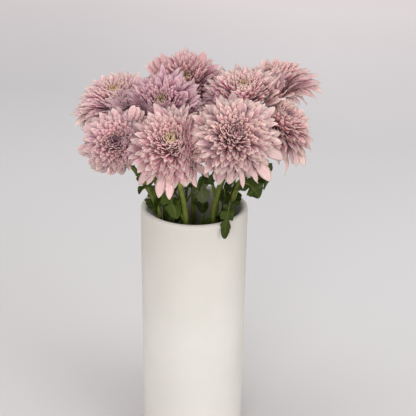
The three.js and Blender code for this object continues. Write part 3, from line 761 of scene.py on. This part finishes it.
def openness(flower):
    """How far the bloom opens each way round its axis: 1 where free, less where it must fold."""
    radial = ring_of_spokes(flower["e1"], flower["e2"], WAYS)
    length = np.full(WAYS, OUTER_LENGTH * flower["reach"])
    angle = np.full(WAYS, float(OUTER_ANGLE))
    for _ in range(FOLDINGS):
        lines = petal_lines(flower, radial, angle, OUTER_BEND, length, OUTER_SAG, OUTER_PLACES)
        angle[in_the_way(lines, flower) & (angle > OUTER_ANGLE * LEAST_FOLD)] -= FOLDED_BY
    near = np.stack([np.roll(angle / OUTER_ANGLE, step) for step in (-2, -1, 0, 1, 2)])
    return (near.min(0) + near.mean(0)) / 2


for name, flower in FLOWERS.items():
    flower["walls"] = walls_of(name)
    flower["e1"], flower["e2"] = side_frame(flower["axis"])
    others = np.vstack([f["line"][ROWS_IN_JAR:] for key, f in FLOWERS.items() if key != name])
    flower["near_stems"] = others[np.linalg.norm(others - flower["seat"], axis=1) < STEMS_WITHIN]
    flower["open"] = openness(flower)
    least, most = float(flower["open"].min()), float(flower["open"].max())
    print(name, "opens", round(least, 2), "to", round(most, 2))

# %% [markdown]
# ## Petals laid one by one
# Outer petals have a will of their own: they hang below the bloom, fold over a neighbour or curl into
# a loop. Each is given by where its tip lies, how broad it is and, where it turns back, by a place
# that it passes over. They take the place of the last petals of their bloom, and are the palest.
# Millimetres again, in the frame's own axes.

# %% Petals laid one by one
OWN_PETALS = {  # place of the tip, width and, for a petal that turns back, a place passed over
    "front_left": [
        ((8, -76, 422), 9), ((11, -80, 414), 9), ((12, -84, 405), 9), ((12, -87, 396), 9),
        ((10, -89, 385), 9), ((3, -91, 403), 8), ((2, -88, 414), 8), ((3, -92, 391), 8),
        ((-36, -93, 347), 10.5), ((-25, -95, 346), 10.5), ((2, -88, 357), 10), ((-4, -91, 363), 10),
        ((-56, -84, 357), 9.5), ((-48, -88, 359), 10), ((14, -84, 366), 11),
    ],
    "front_right": [
        ((48, -100, 361), 6), ((75, -92, 366), 12), ((20, -96, 368), 11), ((88, -82, 386), 12),
        ((62, -97, 367), 12), ((34, -101, 366), 12),
    ],
    "lower_left": [
        ((-50, -38, 415), 10), ((-86, -76, 374), 4.5, (-90, -82, 356)),
        ((-67, -64, 370), 5, (-63, -64, 360)), ((-57, -46, 427), 11), ((-52, -42, 422), 11),
        ((-61, -50, 430), 10), ((-88, -76, 365), 7), ((-100, -70, 368), 8),
    ],
    "lower_right": [
        ((93, -36, 379), 11), ((101, -34, 370), 11), ((109, -31, 376), 11), ((116, -27, 368), 11),
        ((124, -19, 374), 11), ((93, -34, 392), 10), ((102, -34, 387), 10), ((110, -30, 387), 10),
        ((95, -37, 349), 9), ((116, -30, 358), 10), ((124, -22, 372), 10), ((107, -36, 360), 10),
    ],
    "upper_right": [
        ((95, -16, 427), 12), ((87, -18, 436), 12), ((81, -12, 446), 11), ((88, -22, 428), 12),
    ],
    "top_back": [
        ((4, 38, 446), 8, (2, 44, 436)), ((-57, 50, 444), 10), ((-52, 52, 449), 10), ((-46, 54, 453), 10),
        ((-39, 56, 457), 10), ((-51, 44, 438), 10), ((10, 60, 459), 10),
    ],
    "middle": [
        ((-5, -50, 428), 9), ((2, -46, 432), 9), ((-12, -52, 425), 9), ((5, -40, 438), 9),
        ((1, -34, 444), 8), ((-62, -42, 424), 10), ((-8, -34, 440), 9), ((-53, -46, 418), 9),
        ((-47, -46, 421), 9), ((-59, -44, 422), 9),
    ],
    "upper_left": [
        ((-105, -14, 408), 9), ((-98, -16, 406), 9), ((-92, -18, 406), 9), ((-85, -18, 407), 9),
        ((-79, -18, 410), 9), ((-73, -16, 412), 9), ((-129, -4, 391), 10), ((-124, -4, 396), 10),
        ((-128, 0, 400), 10), ((-118, -10, 391), 10), ((-112, -14, 391), 10), ((-124, 4, 405), 10),
        ((-104, -16, 394), 10), ((-121, 10, 411), 9),
    ],
    "back_right": [
        ((143, 50, 415), 13), ((139, 56, 422), 13), ((136, 44, 409), 13), ((125, 40, 404), 13),
        ((130, 58, 430), 13), ((128, 40, 415), 13), ((118, 54, 435), 12), ((81, 30, 440), 10),
        ((91, 31, 435), 10), ((101, 35, 432), 11), ((112, 39, 428), 12), ((79, 24, 433), 11),
        ((87, 22, 427), 11), ((98, 24, 423), 12), ((108, 28, 419), 12), ((119, 33, 417), 12),
        ((86, 18, 419), 12), ((95, 18, 415), 12), ((106, 22, 412), 12), ((115, 28, 408), 12),
    ],
}

# %% [markdown]
# ## Petals
# A double bloom has some four hundred petals, each one leaving the core at the golden angle from the
# last. From the heart outwards they grow longer, wider, flatter and more open, and the outermost
# droop. Tables give these at a few shares of the way out, and a last table says how far a petal may
# stray from them, so that no two are alike.

# %% Petal tables
PETALS, GOLDEN_TURN = 430, math.pi * (3 - math.sqrt(5))
OLDEST = 1.3  # the age of a listed petal, where the core's last ruled petal has 1
SHARES = (0, 0.18, 0.42, 0.70, 0.90, 1)
PETAL_TABLES = {
    "angle": (5, 20, 37, 54, 71, 90),
    "bend": (-8, -2, 12, 20, 22, 22),
    "root": (22, 21, 18.5, 15.5, 13.4, 12.5),  # how far from the core's centre it starts
    "length": (0.17, 0.29, 0.44, 0.57, 0.67, 0.82),
    "width": (4.0, 5.2, 6.8, 8.6, 10.4, 12),
    "sag": (0, 0, 0.02, 0.06, 0.12, 0.2),
    "fold": (0.2, 0.4, 0.6, 0.78, 0.92, 1),
    "gutter": (1.1, 0.95, 0.7, 0.5, 0.36, 0.28),  # half the angle of the arc across, radians
}
STRAY = dict(  # each way: radians for turn and roll, degrees for angle and bend, shares for the rest
    turn=0.16, angle=6, length=0.13, sag=0.5, bend=9, wild_angle=10, wild_length=0.08, sway=0.2,
    roll=0.7, width=0.12, gutter=0.2, tone=1,
)
WILD_SHARE, WILD_FROM = 0.13, 0.3  # how many petals stand wild, and how far out that begins
WILD_LIFT, WILD_LONGER = 4, 0.12
HANGING_FOLD, HANGING_SHORTER = 0.18, 0.14
LOWEST_ROOT = 96  # degrees from the axis, where the lowest petals start on the core


def stray(random, what):
    return random.uniform(-STRAY[what], STRAY[what], PETALS)


print(PETALS * len(FLOWERS), "petals to lay")

# %% [markdown]
# First come the petals' middle lines, all those of a bloom at once as arrays. Some petals stand wild,
# out of their ring. Those that hang under the bloom are shorter and lie closer, and any that would
# still run into a neighbour is shortened step by step and then held back at the wall.

# %% Middle lines of petals
PLACES = np.array([0, 0.08, 0.22, 0.38, 0.54, 0.68, 0.80, 0.90, 0.97, 1])  # stations along a petal
SHORTENINGS, SHORTENED_TO = 12, 0.95
OWN_LEAN, OWN_LIFT = 0.7, 0.3  # how far out and how high a listed petal swings on its way


def petal_radials(flower, shape, random):
    """Each petal's turn round the axis and its outward direction; one that is listed points at its tip."""
    turn = np.arange(PETALS) * GOLDEN_TURN + stray(random, "turn")
    core = flower["seat"] + flower["axis"] * CORE_CENTRE
    for n, petal in enumerate(flower["own"], flower["ruled"]):
        ahead = np.array(petal["tip"]) - core
        turn[n] = math.atan2(ahead @ flower["e2"], ahead @ flower["e1"])
        shape["width"][n] = petal["width"] / flower["broad"]
    turn %= 2 * math.pi
    return turn, np.cos(turn)[:, None] * flower["e1"] + np.sin(turn)[:, None] * flower["e2"]


def ruled_lines(flower, shape, turn, radial, random):
    """Middle lines by the tables, kept clear of the neighbours."""
    share = shape["share"]
    ways = np.append(flower["open"], flower["open"][0])
    open_here = np.interp(turn / (2 * math.pi) * WAYS, np.arange(WAYS + 1), ways)
    angle = shape["angle"] * (1 - (1 - open_here) * shape["fold"]) + stray(random, "angle") * (0.4 + share)
    # a folded petal still starts at its own place on the core
    root = np.minimum(shape["angle"], LOWEST_ROOT), shape["root"]
    hanging = np.clip(-radial[:, 2], 0, 1) * share**2
    angle = angle * (1 - HANGING_FOLD * hanging)
    length = shape["length"] * flower["reach"] * (1 + stray(random, "length") * (0.25 + share**2))
    length *= 1 - HANGING_SHORTER * hanging
    if "short_side" in flower:
        side = np.array(flower["short_side"])
        length *= 1 - share * np.linalg.norm(side) * np.clip(radial @ unit(side), 0, 1) ** 2
    sag = shape["sag"] * (1 + stray(random, "sag"))
    bend = shape["bend"] + stray(random, "bend")
    wild = (random.uniform(0, 1, PETALS) < WILD_SHARE) & (share > WILD_FROM)
    angle = np.where(wild, angle + stray(random, "wild_angle") - WILD_LIFT, angle)
    longer = (WILD_LONGER + stray(random, "wild_length")) * (1 - hanging)
    length = np.where(wild, length * (1 + longer), length)
    for _ in range(SHORTENINGS):
        lines = petal_lines(flower, radial, angle, bend, length, sag, PLACES, root)
        length = np.where(in_the_way(lines, flower), length * SHORTENED_TO, length)
    lines = petal_lines(flower, radial, angle, bend, length, sag, PLACES, root)
    sway = (stray(random, "sway") * length)[:, None] * PLACES**2
    lines += sway[..., None] * np.cross(flower["axis"], radial)[:, None]
    lines[:, 1:] = held_back(lines[:, 1:], flower["walls"])
    return lines


def lay_own_petals(flower, lines, radial):
    """Bends the last lines to the tips that were listed."""
    t = PLACES[:, None]
    for n, petal in enumerate(flower["own"], flower["ruled"]):
        start, tip = lines[n, 0], np.array(petal["tip"], float)
        lift = (flower["axis"] + radial[n] * OWN_LEAN) * np.linalg.norm(tip - start) * OWN_LIFT
        over = petal.get("over", (start + tip) / 2 + lift)
        lines[n] = swung(start, over, tip, t)


# %% [markdown]
# Then each line gets its blade: a thin closed petal with a shallow gutter across, drawn in at its root
# and to its tip, with a little roll and ripple, and a swelling on both sides of its middle vein. Inner
# petals are blunt and outer ones pointed. Marks on the points keep the place along and across, the
# petal's age and a tone of its own.

# %% Blades of petals
OUTER_WIDTHS = np.array([0.30, 0.38, 0.58, 0.84, 1, 0.97, 0.80, 0.50, 0.19])
INNER_WIDTHS = np.array([0.40, 0.50, 0.66, 0.82, 0.95, 1, 0.97, 0.80, 0.45])
SECTION = np.array([-1, -0.5, 0, 0.5, 1, 0.5, 0, -0.5])  # place across: upper face, then lower face
THICKNESS = np.array([0, 0, 0, 0, 0, 0.32, 0.45, 0.32])
LOBES = np.array([0, 1, 0, 1, 0, 1, 0, 1])
LOBE_HEIGHT = 0.11
RIPPLE, RIPPLES = 0.10, 15  # height as a share of the half width, and radians along the petal
BLUNT_FADES = 1.4  # the blunt shape of inner petals is gone at one part in this of the way out


def petal_faces(count):
    rings, around = len(PLACES) - 1, len(SECTION)
    per_petal = rings * around + 1
    one = [tuple(range(around))]
    for ring in range(rings - 1):
        for k in range(around):
            a, b = ring * around + k, ring * around + (k + 1) % around
            one.append((a, a + around, b + around, b))
    last = (rings - 1) * around
    one += [(last + k, per_petal - 1, last + (k + 1) % around) for k in range(around)]
    return [tuple(v + n * per_petal for v in face) for n in range(count) for face in one]


def blade_sections(flower, shape, random):
    """How far each point of each ring lies across its petal, and how high."""
    share = shape["share"]
    pointed = np.clip(share * BLUNT_FADES, 0, 1)[:, None]
    widths = INNER_WIDTHS * (1 - pointed) + OUTER_WIDTHS * pointed
    half = shape["width"] / 2 * flower["broad"] * (1 + stray(random, "width"))
    half = (half[:, None] * widths)[..., None]
    gutter = (shape["gutter"] * (1 + stray(random, "gutter")))[:, None, None]
    x = half * np.sin(gutter * SECTION) / gutter
    z = half * (1 - np.cos(gutter * SECTION)) / gutter
    phase = random.uniform(0, 6.3, PETALS)[:, None, None]
    wavy = (RIPPLE * share)[:, None, None] * half * np.abs(SECTION)
    z += wavy * np.sin(PLACES[None, :-1, None] * RIPPLES + phase + SECTION * 1.7)
    z += (LOBE_HEIGHT * share)[:, None, None] * half * LOBES
    return x, z - THICKNESS


def petal_points(flower, random):
    """Points of all petals of a bloom, and their marks."""
    share = (np.arange(PETALS) + 0.5) / PETALS
    shape = {key: np.interp(share, SHARES, table) for key, table in PETAL_TABLES.items()}
    shape["share"] = share
    turn, radial = petal_radials(flower, shape, random)
    lines = ruled_lines(flower, shape, turn, radial, random)
    lay_own_petals(flower, lines, radial)
    tangent = unit(np.gradient(lines, axis=1))
    sideways = np.cross(flower["axis"], radial)[:, None]
    roll = (stray(random, "roll")[:, None] * PLACES)[..., None]
    across = sideways * np.cos(roll) + np.cross(tangent, sideways) * np.sin(roll)
    across = unit(across - tangent * np.sum(across * tangent, -1, keepdims=True))
    inward = np.cross(tangent, across)
    x, z = blade_sections(flower, shape, random)
    rings = lines[:, :-1, None] + x[..., None] * across[:, :-1, None] + z[..., None] * inward[:, :-1, None]
    ruled = flower["ruled"]
    rings[:ruled, 2:] = held_back(rings[:ruled, 2:], flower["walls"])
    points = np.concatenate([rings.reshape(PETALS, -1, 3), lines[:, -1:]], axis=1)
    spread = lambda values: np.broadcast_to(values, (PETALS, points.shape[1])).reshape(-1)
    marks = {
        "along": spread(np.append(np.repeat(PLACES[:-1], len(SECTION)), 1)),
        "across": spread(np.append(np.tile(SECTION, len(PLACES) - 1), 0)),
        "age": spread(np.where(np.arange(PETALS) < ruled, share, OLDEST)[:, None]),
        "tone": spread(stray(random, "tone")[:, None]),
    }
    return points.reshape(-1, 3), marks


# %% [markdown]
# ## The finish of petals
# A petal is soft and matt, with a faint sheen, and light passes through it, so that a bloom glows
# inside its folds. Its root, deep in the bloom, is a fuller pink and its tip a pale pink cream, and
# the outermost petals are the palest. Some five fine veins run along it, one or two millimetres
# apart. Colours run along the petal by the numbers kept on its points.

# %% Petal finish
BLOOM_COLOURS = {  # crease, body, tip, eye
    "front_left": ("#F6C0CC", "#F9C9D2", "#F6E3DC", "#F6E6BC"),
    "front_right": ("#E9B8C3", "#EBC1C9", "#F6E4DB", "#D29CA6"),
    "middle": ("#DDA6BF", "#E1AEC4", "#EFD6D6", "#CDB88C"),
    "upper_left": ("#F6D2E0", "#FCD9E7", "#F5E5DC", "#E2CC9C"),
    "lower_left": ("#ECB7CB", "#F5CCD9", "#F6E3DC", "#A4587A"),
    "top_back": ("#DDA5B3", "#E4B1BD", "#F2DAD5", "#DCCC9C"),
    "upper_right": ("#F2C1D2", "#FBD1DF", "#F6E5DC", "#DABB8E"),
    "back_right": ("#F8CAD4", "#FFD9E0", "#F5E2DA", "#BE7F8A"),
    "lower_right": ("#FFD6DF", "#FFDAE3", "#F5E2D8", "#B27586"),
}
# by age: how much of the tip's colour a whole petal has, and how bright it is
FADING = ((0, 0.4), (0.27, 0.26), (0.46, 0.14), (0.77, 0.32), (1, 0.8))
DULLING = ((0, 1), (0.3, 0.99), (0.77, 0.88), (1, 1))
VEIN_RADIANS = 16.0  # from the middle vein to the edge


def soft_petal_skin(name, colours):
    finish, add, place = blank_finish(f"soft_petal_skin_{name}")
    crease, body, tip, eye = colours
    marks = {
        key: add("Attribute", {"attribute_name": key}).outputs["Fac"]
        for key in ("along", "across", "age", "tone")
    }
    cloud = add("TexNoise", Vector=place, Scale=90.0, Detail=3.0)
    shifted = add("Math", TIMES_PLUS, i0=cloud, i1=0.24, i2=marks["along"])
    run = [(0.2, crease), (0.55, body), (0.86, body), (1.0, tip)]
    toned = add("ValToRGB", {"stops": run}, Fac=shifted)
    years = add("Math", TIMES, i0=marks["age"], i1=1 / OLDEST)
    faded = add("ValToRGB", {"stops": FADING}, Fac=years)
    dulled = add("ValToRGB", {"stops": DULLING}, Fac=years)
    off_middle = add("Math", {"operation": "ABSOLUTE"}, i0=marks["across"])
    edge = add("Math", {"operation": "POWER"}, i0=off_middle, i1=4.0)
    rimmed = add("Math", TIMES, i0=edge, i1=0.4)
    in_eye = add("MapRange", Value=marks["age"], From_Min=0.03, From_Max=0.14, To_Min=0.7, To_Max=0.0)
    for share, colour in ((faded, tip), (rimmed, tip), (in_eye, eye)):
        toned = add("Mix", BLEND, Factor=share, A=toned, B=colour)
    tinted = add("Math", TIMES_PLUS, i0=marks["tone"], i1=0.09, i2=dulled)
    toned = add("HueSaturation", Value=tinted, Color=toned)
    wander = add("Math", TIMES, i0=cloud, i1=3.0)
    across = add("Math", TIMES_PLUS, i0=marks["across"], i1=VEIN_RADIANS, i2=wander)
    vein = add("Math", {"operation": "SINE"}, i0=across)
    veins = [(0.0, "#D9C4CA"), (0.5, "#FFFFFF")]
    lines = add("ValToRGB", {"stops": veins}, Fac=vein)
    veined = add("Mix", DARKEN, Factor=0.4, A=toned, B=lines)
    bump = add("Bump", Height=vein, Strength=0.25, Distance=0.0003)
    skin = add(
        "BsdfPrincipled", Base_Color=veined, Roughness=0.6, IOR=1.4, Sheen_Weight=0.15, Sheen_Roughness=0.5,
        Normal=bump,
    )
    glow = add("BsdfTranslucent", Color=veined, Normal=bump)
    both = add("MixShader", Fac=0.62, i1=skin, i2=glow)
    add("OutputMaterial", Surface=both)
    return finish


# %% [markdown]
# ## The blooms
# Each bloom is one grown thing: a small dome on which its petals stand, hidden by them, and the
# petals. It stands for the frame's bloom of that name.

# %% Blooms
CORE_PROFILE = [  # height over the seat, radius
    (0.3, 9.8), (4, 12.6), (8, 13.4), (12, 13.6), (16, 13), (20, 11.3), (24, 8.6), (26.8, 5), (27.8, 1),
]
CORE_SIDES = 24
faces = petal_faces(PETALS)
for name, flower in FLOWERS.items():
    random = np.random.default_rng(flower["seed"])
    flower["own"] = [dict(zip(("tip", "width", "over"), petal)) for petal in OWN_PETALS[name]]
    flower["ruled"] = PETALS - len(flower["own"])
    points, marks = petal_points(flower, random)
    spokes = ring_of_spokes(flower["e1"], flower["e2"], CORE_SIDES)
    core = np.vstack(
        [flower["seat"] + flower["axis"] * height + spokes * radius for height, radius in CORE_PROFILE]
    )
    core_faces = skin_faces(len(CORE_PROFILE), CORE_SIDES)
    core_faces = [tuple(v + len(points) for v in face) for face in core_faces]
    marks = {key: np.append(values, np.zeros(len(core))) for key, values in marks.items()}
    finish = soft_petal_skin(name, BLOOM_COLOURS[name])
    bloom = mesh_piece(f"double_bloom_{name}", np.vstack([points, core]), faces + core_faces, finish, marks)
    stands_for(bloom, f"bloom_{name}")

# %% [markdown]
# ## The water
# The water fills the jar's lower half. Its top is flat, with a thin rim that climbs the wall, and it
# is a clear, barely green liquid with an IOR of 1.33.

# %% Water
WATER_LEVEL, WATER_GAP = 175, 0.5
RIM_CLIMB, RIM_REACH = 1, 2.5  # how high the water's rim climbs the wall, and from how far off


def still_water():
    finish, add, place = blank_finish("still_clear_water")
    swell = add("TexNoise", Vector=place, Scale=25.0, Detail=1.0)
    bump = add("Bump", Height=swell, Strength=0.05, Distance=0.001)
    liquid = add(
        "BsdfPrincipled", Base_Color="#E4EEE8", Roughness=0.02, IOR=1.33, Transmission_Weight=0.9,
        Normal=bump,
    )
    add("OutputMaterial", Surface=liquid)
    return finish


water_radius, water_foot = JAR_INSIDE - WATER_GAP, JAR_FLOOR + WATER_GAP
water_outline = [(0, water_foot), (JAR_RADIUS / 2, water_foot), (water_radius - FLOOR_ROUND - 1, water_foot)]
water_bend = (water_radius - FLOOR_ROUND, water_foot + FLOOR_ROUND)
water_outline += arc(water_bend, FLOOR_ROUND, -90, 0, ROUND_STEPS)
water_outline += [(water_radius, z) for z in (*WALL_ROWS[:2], WATER_LEVEL)]
water_outline.append((water_radius - 0.8, WATER_LEVEL - 0.6))
still_level = WATER_LEVEL - RIM_CLIMB
water_outline += [(radius, still_level) for radius in (water_radius - RIM_REACH, JAR_RADIUS / 2, 0)]
water = turned_piece("still_water", water_outline, still_water())
stands_for(water, "water")

# %% [markdown]
# ## Floor and light
# The studio is a wide pale floor under soft light. Its paint runs gently from a darker grey near the
# jar to a lighter one far behind, and is a touch lighter to the right, as in the picture; this grading
# is painted light and shade, for how the lamps fall off over the floor. Five broad lamps stand above,
# in front, left, right and over the far floor, and a pale sky fills the shadows, so nothing throws a
# hard shadow. The view transform is the plain one, which leaves colours as the light makes them.

# %% Floor and light
FLOOR_REACH = 14.0  # metres from the jar to each edge
FLOOR_DROP = 0.3  # millimetres below the jar's foot, so that the two faces do not fight


def matt_studio_floor():
    finish, add, place = blank_finish("matt_painted_studio_floor")
    x, y, _ = add("SeparateXYZ", Vector=place).outputs
    # painted light and shade: darker near the jar, lighter far behind and to the right, for how the lamps
    # fall off
    side = add("MapRange", Value=x, From_Min=-0.4, From_Max=0.4, To_Min=-0.22, To_Max=0.22)
    run = add("Math", {"operation": "ADD"}, i0=y, i1=side)
    painted_falloff = add("MapRange", Value=run, From_Max=2.8)
    painted_falloff_tones = ((0.0, "#A9A4A1"), (0.2, "#AFABA9"), (0.45, "#B4B0AF"), (1.0, "#DFD6D3"))
    base = add("ValToRGB", {"stops": painted_falloff_tones}, Fac=painted_falloff)
    paint = add("TexNoise", Vector=place, Scale=600.0, Detail=2.0)
    bump = add("Bump", Height=paint, Strength=0.05, Distance=0.0003)
    skin = add("BsdfPrincipled", Base_Color=base, Roughness=0.8, Normal=bump)
    add("OutputMaterial", Surface=skin)
    return finish


edge = FLOOR_REACH / MM
corners = [(x * edge, y * edge, -FLOOR_DROP) for x, y in ((-1, -1), (1, -1), (1, 1), (-1, 1))]
floor = mesh_piece("studio_floor", corners, [(0, 1, 2, 3)], matt_studio_floor())
LAMP_COLOUR, SKY_COLOUR, SKY_STRENGTH = "#F8FBFF", "#FBFBFF", 0.6


def soft_lamp(name, place, aim, size, watts):
    lamp = bpy.data.objects.new(name, bpy.data.lights.new(name, "AREA"))
    lamp.data.shape, lamp.data.size, lamp.data.energy = "DISK", size, watts
    lamp.data.color = linear(LAMP_COLOUR)[:3]
    lamp.location = place
    lamp.rotation_euler = (Vector(aim) - Vector(place)).to_track_quat("-Z", "Y").to_euler()
    lamp.visible_camera = False
    bpy.context.scene.collection.objects.link(lamp)
    print(name, watts, "W")


soft_lamp("top_lamp", (0, 0.1, 2.4), (0, 0, 0.35), 2.0, 43)
soft_lamp("front_lamp", (-0.45, -1.9, 0.7), (0, 0, 0.4), 1.2, 27)
soft_lamp("left_lamp", (-2.2, -0.3, 1.2), (0, 0, 0.3), 2.0, 19)
soft_lamp("right_lamp", (1.5, -1.2, 0.9), (0, 0, 0.4), 1.4, 27)
soft_lamp("far_floor_lamp", (1.0, 5, 3), (0.3, 3, 0), 3.0, 44)
world = bpy.data.worlds.new("studio_air")
bpy.context.scene.world = world
world.use_nodes = True
sky = world.node_tree.nodes["Background"]
sky.inputs["Color"].default_value = linear(SKY_COLOUR)
sky.inputs["Strength"].default_value = SKY_STRENGTH
bpy.context.scene.view_settings.view_transform = "Standard"
